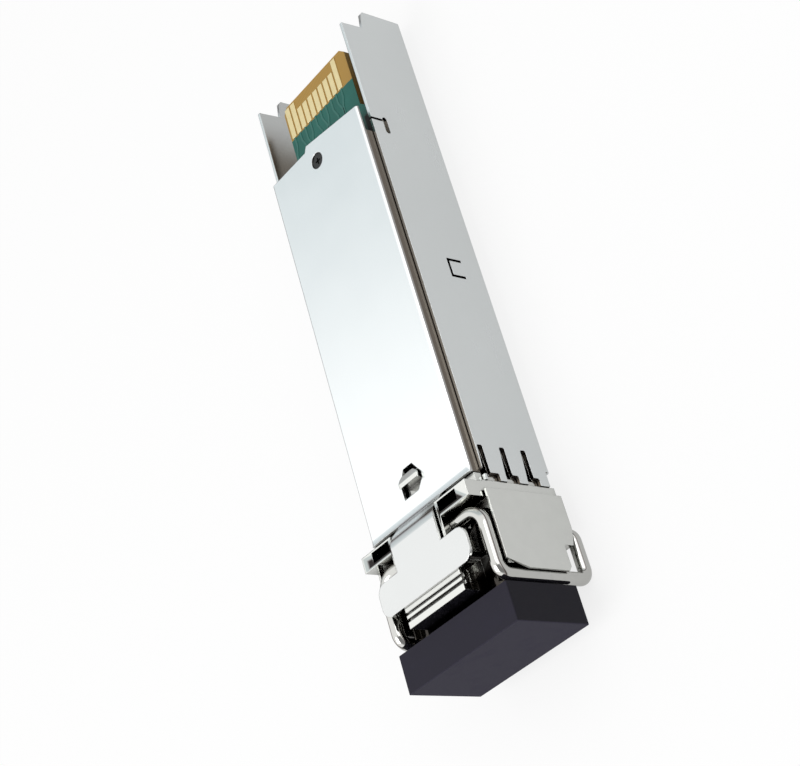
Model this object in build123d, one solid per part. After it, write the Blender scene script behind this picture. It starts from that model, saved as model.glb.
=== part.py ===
"""Small form-factor pluggable optical transceiver with a duplex port and a wire bail latch.

Everything is modelled about the latch datum: y = 0 is the locking shoulder of the latch boss,
z = 0 the outer face of the latch-side cover, x = 0 the middle. +Y runs to the edge connector,
+Z out of the latch side. to_frame then moves each finished piece, so that the origin is under
the middle of the whole object.
"""

import os
from math import cos, radians, sin, sqrt

from build123d import *

# Shell, in millimetres
body_width = 13.4
body_height = 8.5
body_rear = 45.05
shell_sheet = 0.30
cover_sheet = 0.25
running_gap = 0.04
edge_radius = 0.35

# Latch-side cover
cover_front = 2.45
cover_rear_right = 33.45
cover_rear_middle = 34.45
cover_rear_left = 33.95
cover_step_x = -0.85
cover_step_run = 0.35
flange_depth = 2.5
flange_rear = 30.9
bend_radius = 0.28
tongue_height = 1.60
tongue_fold = 4.0
tongue_bend = 1.2
tongue_neck_width = 5.4
tongue_head_gap = 0.15
tongue_head_rear = 6.6
tongue_front = 9.45
tongue_corner = 0.95
latch_window_width = 2.6
latch_window_rear = 1.55
latch_window_shoulder = 0.4
latch_window_front = 0.87
latch_window_chamfer = 0.8
window_peak_width = 1.1
screw_y = 32.25
screw_cup_radius = 0.75
screw_cup_depth = 0.50
screw_shank_radius = 0.40

# Main shell: side walls, rear skirt, contact fingers
wall_edge_drop = 1.04
skirt_step_y = 42.9
skirt_step_drop = 3.43
skirt_corner = 0.30
finger_front = 3.25
finger_slot_rear = 0.5
finger_slot_front = 2.75
finger_slot_width = 0.40
finger_slot_mouth = 0.80
finger_slot_relief = 0.9
finger_slot_drops = (1.40, 3.73, 6.02)
finger_plate_front = 1.9
finger_bottom_drop = 7.94
window_slot_length = 1.75
window_slot_width = 0.5
window_slot_drop = 2.55
window_slot_rear = 32.55
tab_slit = 0.26
tab_rear = 18.2
tab_length = 1.9
tab_drop = 4.6
tab_depth = 1.6

# Nose housing
pad_rise = 0.25
nose_rear = 1.3
nose_front = 11.5
pad_front = 10.8
pad_rear = 4.15
pad_top_drop = 0.40
pad_lip = 0.15
nose_deck_drop = 0.68
nose_block_gap = 0.40
frame_width = 6.8
frame_front = 11.1
ridge_pitch = 0.55
ridge_width = 0.28
ridge_depth = 0.35
ledge_rear = 3.4
ledge_height = 1.25
ledge_inner = 2.85
ledge_rim = 0.15
ledge_front_rim = 0.30
ledge_pocket_outer = 5.35
ledge_pocket_drop = 0.5
bearing_wall = 0.30
bearing_rear = 4.4
frame_relief_drop = 1.3
frame_relief_wall = 0.15
ledge_end_gap = 0.10
wire_lip = 0.5
rail_height = 1.25
rail_width = 0.75
rail_rear = 12.2
rail_post_length = 2.8

# Duplex port
port_pitch = 6.25
port_width = 4.7
port_axis_drop = 3.9
port_floor = 4.2
latch_slot_width = 3.2
latch_slot_depth = 1.5

# Bail, a round wire with two flattened ends that lift the rocker
wire_diameter = 1.1
wire_bend = 0.9
rod_bend = 1.5
rod_y = -5.4
rod_z = 0.0
rod_gap = 0.05
arm_length = 5.65
bar_length = 9.28
return_length = 4.2
cam_half_width = 1.75
cam_thickness = 0.60
cam_lobe = 0.50
wire_end_gap = 0.30

# Latch rocker
rocker_width = 2.7
rocker_axis_y = -2.4
rocker_axis_z = -0.75
trunnion_radius = 0.40
trunnion_span = 4.6
boss_height = 0.42
boss_length = 0.95
boss_width = 2.2
boss_round = 0.6
rocker_sheet = 0.6
rocker_rear = 1.15
tail_lift_gap = 0.10
tail_front = 5.85
tail_sheet = 0.25
spring_wire = 0.16
spring_radius = 0.50
spring_turns = 4
spring_sides = 6
spring_length = 2.3

# Dust plug
plug_side_gap = 0.07
plug_length = 3.3
plug_top = 0.19
plug_bottom = 7.30
plug_gap = 0.25
prong_width = 4.4
prong_reach = 1.9

# Circuit board and its parts
board_top_drop = 2.25
board_thickness = 1.0
board_side_gap = 0.41
board_rest_gap = 0.02
tongue_board_width = 9.4
tongue_board_offset = 0.1
board_front = 9.0
board_rear = 42.0
board_shoulder = 34.6
board_corner = 0.55
pad_count = 10
pad_pitch = 0.8
pad_width = 0.6
pad_rear_gap = 1.2
pad_row_offset = -0.45
short_pad = 2.3
long_pad = 3.3
pad_thickness = 0.06
long_pads = (0, 8, 9)
driver_size = 3.0
controller_size = 4.0
chip_height = 0.85
passive_length = 1.0
passive_width = 0.5
passive_height = 0.5
passive_columns = (-4.2, -1.4, 1.4, 4.2)
latch_side_passive_y = 19.0
latch_side_passive_step = 1.6
cover_side_passive_y = 14.0
cover_side_passive_step = 1.8
controller_y = 22.0
driver_x = 2.6
driver_y = 15.0
post_radius = 1.6

# Optics
barrel_radius = 1.475
barrel_front = 5.0
barrel_bore_radius = 1.0
sleeve_radius = 0.626
stub_radius = 0.50
sleeve_length = 4.0
sleeve_setback = 0.2
collar_radius = 2.1
collar_length = 0.6
neck_length = 0.7
can_radius = 2.7
can_base_length = 1.1
can_cap_radius = 2.3
can_cap_length = 1.8
flex_sheet = 0.12
flex_width = 3.6
flex_overlap = 2.2

# Values that follow from the sizes above
half_body = body_width / 2
wall_inner = half_body - shell_sheet
flange_outer = wall_inner - running_gap
flange_inner = flange_outer - cover_sheet
plate_inside = body_height - shell_sheet
wire_radius = wire_diameter / 2
arm_x = half_body - wire_radius
arm_inner = arm_x - wire_radius
bend_inner = arm_x - rod_bend
nose_width = body_width + 2 * pad_rise
nose_block_width = 2 * (arm_inner - nose_block_gap)
tongue_head_width = 2 * (arm_inner - tongue_head_gap)
plug_width = body_width - 2 * plug_side_gap
board_width = 2 * (flange_inner - board_side_gap)
bar_y = rod_y - arm_length
plug_rear = wire_radius + plug_gap - bar_y
return_z = rod_z - bar_length
swing_clear = bar_length - wire_radius - 2 * running_gap
port_axis_z = -port_axis_drop
tongue_under = tongue_height - cover_sheet
board_top = -board_top_drop
board_bottom = board_top - board_thickness
all_front = -(plug_rear + plug_length)
all_bottom = return_z - wire_radius
middle_y = (all_front + body_rear) / 2
to_frame = Pos(0, -middle_y, -all_bottom)


def box(x0, x1, y0, y1, z0, z1):
    """A block between two corners."""
    size = (x1 - x0, y1 - y0, z1 - z0)
    return Pos((x0 + x1) / 2, (y0 + y1) / 2, (z0 + z1) / 2) * Box(*size)


def across(points, x0, x1):
    """A side outline of (y, z) points, drawn out along X."""
    return extrude(Plane.YZ.offset(x0) * make_face(Polyline(*points, close=True)), amount=x1 - x0)


def upward(points, z0, z1):
    """A plan outline of (x, y) points, drawn out along Z."""
    return extrude(Plane.XY.offset(z0) * make_face(Polyline(*points, close=True)), amount=z1 - z0)


def rod_x(radius, x0, x1, y, z):
    """A round bar along X."""
    return Pos((x0 + x1) / 2, y, z) * Rot(0, 90, 0) * Cylinder(radius, x1 - x0)


def rod_y_axis(radius, y0, y1, x, z):
    """A round bar along Y."""
    return Pos(x, (y0 + y1) / 2, z) * Rot(90, 0, 0) * Cylinder(radius, y1 - y0)


def both_sides(piece):
    """A piece and its mirror image in the middle plane."""
    return piece + mirror(piece, about=Plane.YZ)


def folded_strip(points, thickness):
    """The side outline of a sheet folded along (y, z) points, its thickness on the right hand."""
    moved = []
    for i, (y, z) in enumerate(points):
        normals = []
        for a, b in ((i - 1, i), (i, i + 1)):
            if a < 0 or b >= len(points):
                continue
            dy = points[b][0] - points[a][0]
            dz = points[b][1] - points[a][1]
            length = sqrt(dy * dy + dz * dz)
            normals.append((dz / length, -dy / length))
        ny = sum(n[0] for n in normals) / len(normals)
        nz = sum(n[1] for n in normals) / len(normals)
        scale = thickness / (ny * ny + nz * nz)
        moved.append((y + ny * scale, z + nz * scale))
    return list(points) + moved[::-1]


def top_cover():
    """The main shell, a channel whose walls end in contact fingers at the front."""
    shell = box(-half_body, half_body, -finger_front, body_rear, -body_height, -wall_edge_drop)
    bottom_edges = shell.edges().filter_by(Axis.Y).group_by(Axis.Z)[0]
    shell = fillet(bottom_edges, edge_radius)
    reach = body_height
    shell -= box(-wall_inner, wall_inner, -finger_front - 1, body_rear + 1, -plate_inside, reach)
    skirt_lip_y = body_rear - skirt_corner
    skirt_outline = [
        (skirt_step_y, 0),
        (skirt_step_y, -wall_edge_drop - skirt_corner),
        (skirt_step_y + skirt_corner / 2, -skirt_step_drop),
        (skirt_lip_y, -skirt_step_drop - skirt_corner),
        (body_rear, -skirt_step_drop - 2 * skirt_corner),
        (body_rear + 1, -skirt_step_drop - 2 * skirt_corner),
        (body_rear + 1, 0),
    ]
    shell -= across(skirt_outline, -half_body - 1, half_body + 1)
    shell -= finger_slots(wall_inner - 1)
    shell -= both_sides(window_slot())
    shell -= both_sides(tab_cut())
    plate_front = box(
        -half_body - 1, half_body + 1,
        -finger_front - 1, -finger_plate_front,
        -body_height - 1, -finger_bottom_drop,
    )
    return shell - plate_front


def finger_slots(inner):
    """The tapered slots between the contact fingers, from inner out through the wall."""
    cut = None
    for drop in finger_slot_drops:
        slot = across([
            (-finger_slot_rear, -drop - finger_slot_width / 2),
            (-finger_slot_rear, -drop + finger_slot_width / 2),
            (-finger_slot_front, -drop + finger_slot_mouth / 2),
            (-finger_slot_front, -drop - finger_slot_mouth / 2),
        ], inner, half_body + 1)
        cut = slot if cut is None else cut + slot
    return both_sides(cut)


def window_slot():
    """The inspection slot near the rear of a wall, with the slit beside it."""
    middle_y_slot = window_slot_rear - window_slot_length / 2
    slot = Plane.YZ.offset(wall_inner - 1) * SlotOverall(window_slot_length, window_slot_width)
    slot = Pos(0, middle_y_slot, -window_slot_drop) * extrude(slot, amount=shell_sheet + 2)
    slit = box(
        wall_inner - 1, half_body + 1,
        window_slot_rear - 2 * tab_slit, window_slot_rear - tab_slit,
        -window_slot_drop, -wall_edge_drop + 1,
    )
    return slot + slit


def tab_cut():
    """The narrow cut round three sides of a tab in the wall."""
    outer = box(
        wall_inner - 1, half_body + 1,
        tab_rear - tab_length, tab_rear,
        -tab_drop - tab_depth, -tab_drop,
    )
    inner = box(
        wall_inner - 1, half_body + 1,
        tab_rear - tab_length + tab_slit, tab_rear - tab_slit,
        -tab_drop - tab_depth - 1, -tab_drop - tab_slit,
    )
    return outer - inner


def cover_outline():
    """The plan of the latch-side cover: a long plate, a neck and a T-shaped head."""
    half = flange_outer
    outline = make_face(Polyline(
        (-half, cover_rear_left),
        (-half, -cover_front),
        (half, -cover_front),
        (half, cover_rear_right),
        (cover_step_x, cover_rear_middle),
        (cover_step_x - cover_step_run, cover_rear_left),
        close=True))
    neck = Pos(0, -(tongue_head_rear + cover_front) / 2) * Rectangle(
        tongue_neck_width, tongue_head_rear - cover_front + 1)
    head_length = tongue_front - tongue_head_rear
    head = Pos(0, -(tongue_front + tongue_head_rear) / 2) * RectangleRounded(
        tongue_head_width, head_length, tongue_corner)
    return outline + neck + head


def latch_window():
    """The house-shaped hole that the latch boss stands in."""
    half = latch_window_width / 2
    peak = window_peak_width / 2
    points = [
        (-half, -latch_window_front),
        (half - latch_window_chamfer, -latch_window_front),
        (half, -latch_window_front + latch_window_chamfer),
        (half, latch_window_shoulder),
        (peak, latch_window_rear),
        (-peak, latch_window_rear),
        (-half, latch_window_shoulder),
    ]
    return upward(points, -cover_sheet - 1, 1)


def creases(sheet, places):
    """The edges along X of a folded sheet that lie at the given (y, z) places."""
    return sheet.edges().filter_by(Axis.X).filter_by(
        lambda e: any(abs(e.center().Y - y) + abs(e.center().Z - z) < 0.01 for y, z in places))


def bottom_cover():
    """The latch-side cover, folded up over the nose and turned down inside the shell walls."""
    fold = [
        (cover_rear_middle + 1, 0),
        (-cover_front, 0),
        (-tongue_fold, tongue_height),
        (-tongue_front - 1, tongue_height),
    ]
    outline = folded_strip(fold[::-1], cover_sheet)
    side = across(outline, -half_body, half_body)
    side = fillet(creases(side, (outline[2], outline[6])), tongue_bend)
    side = fillet(creases(side, (outline[1], outline[5])), tongue_bend + cover_sheet)
    cover = side & extrude(Plane.XY.offset(-1) * cover_outline(), amount=tongue_height + 2)
    flange = box(flange_inner, flange_outer, nose_rear + running_gap, flange_rear,
                 -flange_depth, 0)
    lip = box(flange_inner, flange_outer, -cover_front, nose_rear + running_gap,
              -wall_edge_drop, 0)
    cover += both_sides(flange + lip)
    bends = cover.edges().filter_by(Axis.Y).filter_by(
        lambda e: abs(abs(e.center().X) - flange_outer) < 0.01 and abs(e.center().Z) < 0.01)
    cover = fillet(bends, bend_radius)
    cover -= latch_window()
    cup_outer = screw_cup_radius + cover_sheet
    cup_bottom = -screw_cup_depth - cover_sheet
    cover += Pos(0, screw_y, cup_bottom / 2) * Cylinder(cup_outer, -cup_bottom)
    cover -= Pos(0, screw_y, 0) * Cylinder(screw_cup_radius, 2 * screw_cup_depth)
    cover -= Pos(0, screw_y, cup_bottom) * Cylinder(screw_shank_radius + 2 * running_gap, 2)
    return cover


def swing_relief():
    """What the bail's crossbar sweeps in front of the housing, outside a cylinder about the rod."""
    reach = nose_front + body_height
    corner = box(-half_body * 2, half_body * 2, -reach, rod_y, -reach, -swing_clear / 2)
    return corner - rod_x(swing_clear, -half_body * 2 - 1, half_body * 2 + 1, rod_y, rod_z)


def duplex_port():
    """The two square ports with their latch slots, and the round holes for the optics."""
    half = port_width / 2
    cut = None
    for side in (-1, 1):
        x = side * port_pitch / 2
        square = box(x - half, x + half, -nose_front - 1, -port_floor,
                     port_axis_z - half, port_axis_z + half)
        slot_half = latch_slot_width / 2
        slot = box(x - slot_half, x + slot_half, -nose_front - 1, -port_floor - 1,
                   port_axis_z - half - latch_slot_depth, port_axis_z)
        hole = rod_y_axis(barrel_radius + 3 * running_gap, -port_floor - 1, nose_rear + 1,
                          x, port_axis_z)
        port = square + slot + hole
        cut = port if cut is None else cut + port
    return cut


def rocker_pocket():
    """The pocket for rocker, cams, trunnions and spring, open to the latch side."""
    half = rocker_width / 2 + 3 * running_gap
    floor = -(rocker_axis_z * -2 + 0.35)
    pocket = box(-half, half, rod_y, nose_rear + 1, floor, 2)
    cam_half = cam_half_width + 3 * running_gap
    cam_reach = cam_lobe + cam_thickness / 2 + 3 * running_gap
    cam_room = rod_x(cam_reach, -cam_half, cam_half, rod_y, rod_z)
    cam_room += box(-cam_half, cam_half, rod_y - cam_reach, -ledge_rear, rod_z, 2)
    trunnion_half = trunnion_span / 2 + 2 * running_gap
    seat_radius = trunnion_radius + running_gap
    seat = rod_x(seat_radius, -trunnion_half, trunnion_half, rocker_axis_y, rocker_axis_z)
    seat += box(-trunnion_half, trunnion_half, rocker_axis_y - seat_radius,
                rocker_axis_y + seat_radius, rocker_axis_z, 2)
    well_radius = spring_radius + spring_wire
    well_bottom = rocker_underside() - spring_length - running_gap
    well = Pos(0, boss_length / 2, (floor + well_bottom) / 2) * Cylinder(
        well_radius, floor - well_bottom)
    return pocket + cam_room + seat + well


def nose_ledge():
    """The ledge behind the rod on each side, with a pocket in it and a thin bearing wall."""
    half = half_body - ledge_end_gap
    front = rod_y + wire_radius + ledge_end_gap
    ledge = box(ledge_inner, half, front, -ledge_rear, -nose_deck_drop - 1, ledge_height)
    pocket = box(ledge_inner + bearing_wall, ledge_pocket_outer,
                 front + ledge_front_rim, -ledge_rear - ledge_rim,
                 -ledge_pocket_drop, ledge_height + 1)
    wall = box(ledge_inner, ledge_inner + bearing_wall, -tongue_head_rear, -bearing_rear,
               -nose_deck_drop - 1, ledge_height)
    return both_sides(ledge - pocket + wall)


def frame_relief():
    """The cavities beside the front frame, and the drop ahead of it."""
    wide = nose_block_width / 2 - frame_relief_wall
    side = box(frame_width / 2, wide, -frame_front, -tongue_front + tongue_corner,
               -frame_relief_drop, ledge_height + 1)
    ahead = box(-half_body, half_body, -nose_front - 1, -frame_front,
                -frame_relief_drop, ledge_height + 1)
    return both_sides(side) + ahead


def front_ridges():
    """Grip ridges cut across the front frame ahead of the T head."""
    cut = None
    y = -tongue_front - ridge_pitch / 2
    while y - ridge_width > -frame_front:
        groove = box(-frame_width, frame_width, y - ridge_width, y,
                     ledge_height - ridge_depth, ledge_height + 1)
        cut = groove if cut is None else cut + groove
        y -= ridge_pitch
    return cut


def side_pads():
    """The raised pads on the housing's sides, with a lip beside the bail's arms."""
    half = nose_width / 2
    chamfer = nose_front - pad_front
    outline = [
        (-pad_rear, -pad_top_drop),
        (-pad_front + chamfer, -pad_top_drop),
        (-pad_front, -pad_top_drop - 3 * chamfer),
        (-pad_front, -body_height),
        (-pad_rear, -body_height),
    ]
    pad = across(outline, arm_x + wire_radius + running_gap, half)
    core = across(outline, nose_block_width / 2, half)
    core -= box(0, half - pad_lip, -nose_front, 0, -nose_deck_drop, 1)
    return both_sides(pad + core)


def nose_housing():
    """The cast front housing: ports, bail bearing, rocker pocket and rails for the board."""
    inner = wall_inner - running_gap
    cover_rebate = flange_inner - running_gap
    top = -cover_sheet - running_gap
    rear_block = box(-inner, inner, -finger_front, nose_rear, -plate_inside + running_gap, top)
    rebate = box(cover_rebate, half_body, -cover_front - 2 * running_gap, nose_rear + 1,
                 -wall_edge_drop - running_gap, 1)
    rear_block -= both_sides(rebate)
    collar = box(-half_body + ledge_end_gap, half_body - ledge_end_gap, -pad_rear,
                 -finger_front - running_gap, -body_height + ledge_end_gap, -nose_deck_drop)
    front = box(-nose_block_width / 2, nose_block_width / 2, -nose_front, -finger_front,
                -body_height, -nose_deck_drop)
    bar_front = bar_y + wire_radius + 3 * running_gap
    half = half_body
    cheek = box(-half, half, bar_front, -pad_rear, -body_height, -nose_deck_drop)
    housing = rear_block + collar + front + cheek + side_pads_behind(bar_front)
    block_front = -tongue_front + tongue_corner
    block_rear = rod_y - wire_radius - wire_lip - rod_gap
    housing += box(-nose_block_width / 2, nose_block_width / 2, block_front, block_rear,
                   -nose_deck_drop - 1, tongue_under - running_gap)
    frame = box(-frame_width / 2, frame_width / 2, -frame_front, block_front,
                -nose_deck_drop - 1, ledge_height)
    housing += frame - front_ridges()
    housing += box(-nose_block_width / 2, nose_block_width / 2, block_rear,
                   rod_y - wire_radius - rod_gap, -nose_deck_drop - 1, rod_z)
    housing += nose_ledge()
    housing -= frame_relief()
    housing -= finger_slots(inner - finger_slot_relief)
    housing -= duplex_port()
    housing -= rod_x(wire_radius + rod_gap, -half_body, half_body, rod_y, rod_z)
    housing -= corner_relief()
    housing -= rocker_pocket()
    housing -= swing_relief()
    return housing + board_rails()


def side_pads_behind(bar_front):
    """The side pads, cut clear of the bail's upright bars."""
    bar_inner = arm_x - wire_radius - 3 * running_gap
    bar_outer = arm_x + wire_radius + running_gap
    slot = box(bar_inner, bar_outer, -nose_front - 1, bar_front, -body_height - 1, 1)
    return side_pads() - both_sides(slot)


def corner_relief():
    """Room for the bail's bend between rod and arm, at rest and swung open."""
    outer = arm_x + wire_radius + running_gap
    inner = bend_inner
    clear = wire_radius + ledge_end_gap
    room = rod_x(clear, inner, outer, rod_y, rod_z)
    room += box(inner, outer, rod_y - arm_length, rod_y, rod_z - clear, 3)
    room += box(inner, outer, rod_y, rod_y + clear, rod_z, 3)
    return both_sides(room)


def board_rails():
    """Two rails behind the housing that carry the front corners of the board."""
    outer = flange_inner - running_gap
    bottom = -plate_inside + running_gap
    rail = box(outer - rail_width, outer, nose_rear - 1, rail_rear, bottom, bottom + rail_height)
    post = box(outer - rail_width, outer, rail_rear - rail_post_length, rail_rear,
               bottom, board_bottom - board_rest_gap)
    return both_sides(rail + post)


def wire_path(corners, bends):
    """A line through the corners with a round bend of its own radius at each inner one."""
    pieces = []
    start = Vector(*corners[0])
    for i in range(1, len(corners) - 1):
        corner = Vector(*corners[i])
        before = (corner - Vector(*corners[i - 1])).normalized()
        after = (Vector(*corners[i + 1]) - corner).normalized()
        radius = bends[i - 1]
        turn = radians(before.get_angle(after))
        set_back = radius * sin(turn / 2) / cos(turn / 2)
        into = corner - before * set_back
        out = corner + after * set_back
        inward = (after - before).normalized()
        middle = corner + inward * (radius / cos(turn / 2) - radius)
        pieces.append(Line(start, into))
        pieces.append(ThreePointArc(into, middle, out))
        start = out
    pieces.append(Line(start, Vector(*corners[-1])))
    return Wire([edge for piece in pieces for edge in piece.edges()])


def bail():
    """The bent wire handle; its two flattened ends meet under the cover's neck."""
    corners = [
        (cam_half_width, rod_y, rod_z),
        (arm_x, rod_y, rod_z),
        (arm_x, bar_y, rod_z),
        (arm_x, bar_y, return_z),
        (arm_x, bar_y + return_length, return_z),
        (-arm_x, bar_y + return_length, return_z),
        (-arm_x, bar_y, return_z),
        (-arm_x, bar_y, rod_z),
        (-arm_x, rod_y, rod_z),
        (-cam_half_width, rod_y, rod_z),
    ]
    bends = [rod_bend] + [wire_bend] * (len(corners) - 4) + [rod_bend]
    path = wire_path(corners, bends)
    section = Plane(origin=corners[0], z_dir=(1, 0, 0)) * Circle(wire_radius)
    wire = sweep(section, path=path)
    cam = SlotCenterToCenter(cam_lobe, cam_thickness)
    cam = extrude(Plane.YZ.offset(wire_end_gap / 2) * cam, amount=cam_half_width - wire_end_gap / 2)
    cam = Pos(0, rod_y - cam_lobe / 2, rod_z) * cam
    return wire + both_sides(cam)


def rocker_underside():
    """Height of the rocker's lower face behind its axis."""
    return rocker_axis_z - rocker_sheet / 2


def latch_rocker():
    """The rocking latch: a boss at the rear, trunnions, and a tail over the bail's cams."""
    top = rocker_axis_z + rocker_sheet / 2
    under = rocker_underside()
    tail_under = rod_z + cam_thickness / 2 + tail_lift_gap
    tail_top = tail_under + tail_sheet
    outline = [
        (-tail_front, tail_under),
        (-tail_front, tail_top),
        (rod_y + 0.45, tail_top),
        (rocker_axis_y - 0.35, top),
        (rocker_rear, top),
        (rocker_rear, under),
        (rocker_axis_y, under),
        (rocker_axis_y - 0.6, rocker_axis_z + 0.03),
        (rod_y + 0.30, tail_under),
    ]
    half = rocker_width / 2
    rocker = across(outline, -half, half)
    boss = across([(0, top - 0.1), (0, boss_height), (boss_length * 0.4, boss_height),
                   (boss_length, boss_height / 2), (boss_length, top - 0.1)],
                  -boss_width / 2, boss_width / 2)
    upright = boss.edges().filter_by(Axis.Z).group_by(Axis.Y)[-1]
    boss = fillet(upright, boss_round)
    rocker += boss
    rocker += rod_x(trunnion_radius, -trunnion_span / 2, trunnion_span / 2,
                    rocker_axis_y, rocker_axis_z)
    return rocker


def rocker_spring():
    """A small coil spring under the boss."""
    top = rocker_underside() - running_gap
    bottom = top - spring_length
    pitch = (spring_length - spring_wire) / spring_turns
    path = Helix(pitch, pitch * spring_turns, spring_radius)
    start = path @ 0
    section = Plane(origin=start, z_dir=path % 0) * RegularPolygon(spring_wire / 2, spring_sides)
    coil = sweep(section, path=path, is_frenet=True)
    return Pos(0, boss_length / 2, bottom + spring_wire / 2) * coil


def dust_plug():
    """The soft cap over the front, with a short prong in each port."""
    half = plug_width / 2
    plug = box(-half, half, all_front, -plug_rear, -plug_bottom, plug_top)
    prong_half = prong_width / 2
    for side in (-1, 1):
        x = side * port_pitch / 2
        plug += box(x - prong_half, x + prong_half, -plug_rear - 1, -nose_front + prong_reach,
                    port_axis_z - prong_half, port_axis_z + prong_half)
    return plug


def circuit_board():
    """The board, wide between the walls and narrow at its edge connector."""
    half = board_width / 2
    left = tongue_board_offset - tongue_board_width / 2
    right = tongue_board_offset + tongue_board_width / 2
    outline = [
        (-half, board_front),
        (half, board_front),
        (half, board_shoulder),
        (right, board_shoulder + (half - right)),
        (right, board_rear - board_corner),
        (right - board_corner, board_rear),
        (left + board_corner, board_rear),
        (left, board_rear - board_corner),
        (left, board_shoulder + (half - right)),
        (-half, board_shoulder),
    ]
    board = upward(outline, board_bottom, board_top)
    hole = Pos(0, screw_y, board_bottom) * Cylinder(post_neck_radius() + 2 * running_gap, 4)
    return board - hole


def contact_row(z0, z1):
    """One row of edge contacts, the long ones first to mate."""
    row = None
    end = board_rear - pad_rear_gap
    for i in range(pad_count):
        x = pad_row_offset + ((pad_count - 1) / 2 - i) * pad_pitch
        length = long_pad if i in long_pads else short_pad
        rear = end + (length - short_pad)
        pad = box(x - pad_width / 2, x + pad_width / 2, end - short_pad, rear, z0, z1)
        row = pad if row is None else row + pad
    return row


def latch_side_contacts():
    """Edge contacts on the face of the board towards the latch."""
    return contact_row(board_top, board_top + pad_thickness)


def cover_side_contacts():
    """Edge contacts on the other face of the board."""
    return contact_row(board_bottom - pad_thickness, board_bottom)


def chip(size, x, y, below=False):
    """A flat square chip on one face of the board."""
    z0 = board_bottom - chip_height if below else board_top
    return box(x - size / 2, x + size / 2, y - size / 2, y + size / 2, z0, z0 + chip_height)


def passives(places, below=False):
    """Small two-terminal parts along the board."""
    group = None
    z0 = board_bottom - passive_height if below else board_top
    for x, y in places:
        part = box(x - passive_length / 2, x + passive_length / 2,
                   y - passive_width / 2, y + passive_width / 2, z0, z0 + passive_height)
        group = part if group is None else group + part
    return group


def passive_places(columns, first_y, step, rows):
    """Places for passives in rows and columns."""
    return [(x, first_y + step * row) for x in columns for row in range(rows)]


def optics_barrel(x):
    """A turned barrel with a bore for the sleeve and a neck for the retainer."""
    collar_front = nose_rear + running_gap
    neck_front = collar_front + collar_length
    rear = neck_front + neck_length
    barrel = rod_y_axis(barrel_radius, -barrel_front, rear, x, port_axis_z)
    barrel += rod_y_axis(collar_radius, collar_front, neck_front, x, port_axis_z)
    bore_rear = -barrel_front + sleeve_setback + sleeve_length
    barrel -= rod_y_axis(barrel_bore_radius, -barrel_front - 1, bore_rear, x, port_axis_z)
    return barrel - rod_y_axis(stub_radius, bore_rear - 1, rear + 1, x, port_axis_z)


def optics_can(x):
    """The sealed can behind a barrel: a wide base and a smaller cap."""
    front = nose_rear + 2 * running_gap + collar_length + neck_length
    base = rod_y_axis(can_cap_radius, front, front + can_cap_length, x, port_axis_z)
    rear = front + can_cap_length + can_base_length
    return base + rod_y_axis(can_radius, front + can_cap_length, rear, x, port_axis_z)


def can_rear():
    """Where the cans end."""
    return nose_rear + 2 * running_gap + collar_length + neck_length + can_cap_length + can_base_length


def optics_sleeve(x):
    """The ceramic sleeve that lines up a plug's ferrule."""
    front = -barrel_front + sleeve_setback
    rear = front + sleeve_length
    sleeve = rod_y_axis(barrel_bore_radius, front, rear, x, port_axis_z)
    return sleeve - rod_y_axis(sleeve_radius, front - 1, rear + 1, x, port_axis_z)


def transmit_fibre_stub():
    """The short fibre stub behind the transmit sleeve."""
    front = -barrel_front + sleeve_setback + sleeve_length
    rear = nose_rear + collar_length
    return rod_y_axis(stub_radius, front, rear, port_pitch / 2, port_axis_z)


def optics_flex(x):
    """A folded ribbon from the back of a can to the board."""
    up_y = can_rear() + 2 * running_gap
    level = board_top + board_rest_gap
    low = port_axis_z - can_cap_radius / 2
    path = [(up_y, low), (up_y, level + flex_sheet), (board_front + flex_overlap, level + flex_sheet)]
    return across(folded_strip(path, flex_sheet), x - flex_width / 2, x + flex_width / 2)


def optics_retainer():
    """A plate with two notches that holds both barrels by their necks."""
    front = nose_rear + 1.5 * running_gap + collar_length
    rear = front + neck_length - running_gap
    half = flange_inner - 2 * running_gap
    bottom = -plate_inside + running_gap + rail_height + running_gap
    top = port_axis_z + collar_radius + cover_sheet
    plate = box(-half, half, front, rear, bottom, top)
    for side in (-1, 1):
        x = side * port_pitch / 2
        notch = barrel_radius + running_gap
        plate -= rod_y_axis(notch, front - 1, rear + 1, x, port_axis_z)
        plate -= box(x - notch, x + notch, front - 1, rear + 1, port_axis_z, top + 1)
    return plate


def post_neck_radius():
    """Radius of the post's neck through the board."""
    return screw_cup_radius + cover_sheet / 2


def screw_post():
    """The threaded post that stands on the shell, carries the board and takes the screw."""
    foot = -plate_inside
    shoulder = board_bottom - board_rest_gap
    top = -screw_cup_depth - cover_sheet - running_gap
    post = Pos(0, screw_y, (foot + shoulder) / 2) * Cylinder(post_radius, shoulder - foot)
    post += Pos(0, screw_y, (foot + top) / 2) * Cylinder(post_neck_radius(), top - foot)
    hole_bottom = board_bottom
    hole = Pos(0, screw_y, (hole_bottom + top + 1) / 2) * Cylinder(
        screw_shank_radius + running_gap / 2, top + 1 - hole_bottom)
    return post - hole


def cover_screw():
    """The small screw sunk in the cover's cup."""
    head_height = screw_cup_depth * 0.8
    head = Pos(0, screw_y, -screw_cup_depth + head_height / 2) * Cylinder(
        screw_cup_radius - running_gap, head_height)
    length = board_top_drop
    shank = Pos(0, screw_y, -screw_cup_depth - length / 2) * Cylinder(screw_shank_radius, length)
    slot_long = screw_cup_radius * 0.9
    cross = None
    for turn in (0, 90):
        bar = Pos(0, screw_y, -screw_cup_depth + head_height) * Rot(0, 0, turn) * Box(
            slot_long, slot_long / 4, head_height)
        cross = bar if cross is None else cross + bar
    return head + shank - cross


def thermal_pad():
    """The soft pad between the driver chip and the cover."""
    half = driver_size / 2
    return box(driver_x - half, driver_x + half, driver_y - half, driver_y + half,
               board_top + chip_height, -cover_sheet)


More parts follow.
